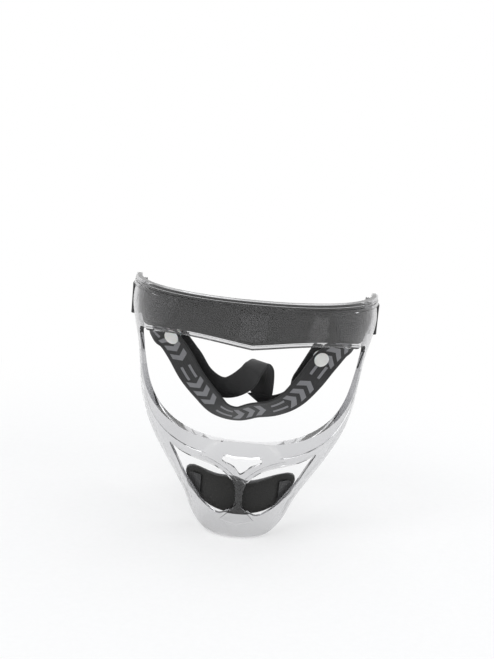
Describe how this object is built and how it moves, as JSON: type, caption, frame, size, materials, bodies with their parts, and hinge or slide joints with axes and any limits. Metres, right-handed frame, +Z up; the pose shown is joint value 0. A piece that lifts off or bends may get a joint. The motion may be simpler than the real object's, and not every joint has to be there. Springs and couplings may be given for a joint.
{
  "type": "softball face guard",
  "caption": "Clear moulded face guard with a padded brow band, chin pad, Y-shaped mouth bars and an elastic strap harness held by press snaps.",
  "frame": {"origin": "middle of the brow pad's back face, where the forehead rests", "axes": "+Z up as worn, front of the mask faces -Y, +X to the right of somebody who looks at the front"},
  "size_m": [0.1986, 0.1561, 0.169],
  "materials": {
    "clear_shell": "clear moulded polycarbonate, polished, faint cool tint",
    "pad_fabric": "black brushed tricot laminated on foam",
    "foam": "closed-cell foam",
    "hook_tape": "black hook tape",
    "webbing": "black flat-woven webbing",
    "elastic": "black knitted elastic with woven grey blocks on the nape strap",
    "snap_plastic": "off-white moulded acetal"
  },
  "bodies": {
    "mask": {"mask_shell": "clear_shell", "brow_pad_backing": "pad_fabric", "brow_pad_cover": "pad_fabric", "brow_pad_foam": "foam", "chin_pad_backing": "pad_fabric", "chin_pad_cover": "pad_fabric", "chin_pad_foam": "foam", "brow_hook_middle": "hook_tape", "brow_hook_left": "hook_tape", "brow_hook_right": "hook_tape", "chin_hook_left": "hook_tape", "chin_hook_right": "hook_tape", "temple_loop_left": "webbing", "temple_loop_right": "webbing"},
    "harness": {"nape_strap": "elastic", "snap_left_front_cap": "snap_plastic", "snap_left_stud": "snap_plastic", "snap_right_front_cap": "snap_plastic", "snap_right_stud": "snap_plastic", "crown_fold_left": "elastic", "crown_fold_right": "elastic"},
    "crown": {"crown_strap": "elastic", "crown_return": "elastic"},
    "left_snap_end": {"snap_left_socket": "snap_plastic", "snap_left_back_cap": "snap_plastic", "crown_tab_left": "elastic"},
    "right_snap_end": {"snap_right_socket": "snap_plastic", "snap_right_back_cap": "snap_plastic", "crown_tab_right": "elastic"}
  },
  "joints": [
    {"name": "harness_swing", "type": "hinge", "parent": "mask", "child": "harness", "pos_m": [0, 0.08667, 0], "axis": [1, 0, 0], "range_deg": [-25, 100]},
    {"name": "crown_strap_swing", "type": "hinge", "parent": "harness", "child": "crown", "pos_m": [-0.00201, 0.088, -0.04589], "axis": [0.9946, 0.018, -0.1018], "range_deg": [0, 100]},
    {"name": "snap_left_open", "type": "slide", "parent": "harness", "child": "left_snap_end", "axis": [-0.2922, 0.9311, 0.2181], "range_m": [0, 0.0045], "deforming": ["crown_fold_left"]},
    {"name": "snap_right_open", "type": "slide", "parent": "harness", "child": "right_snap_end", "axis": [0.385, 0.8508, 0.3575], "range_m": [0, 0.0045], "deforming": ["crown_fold_right"]}
  ]
}
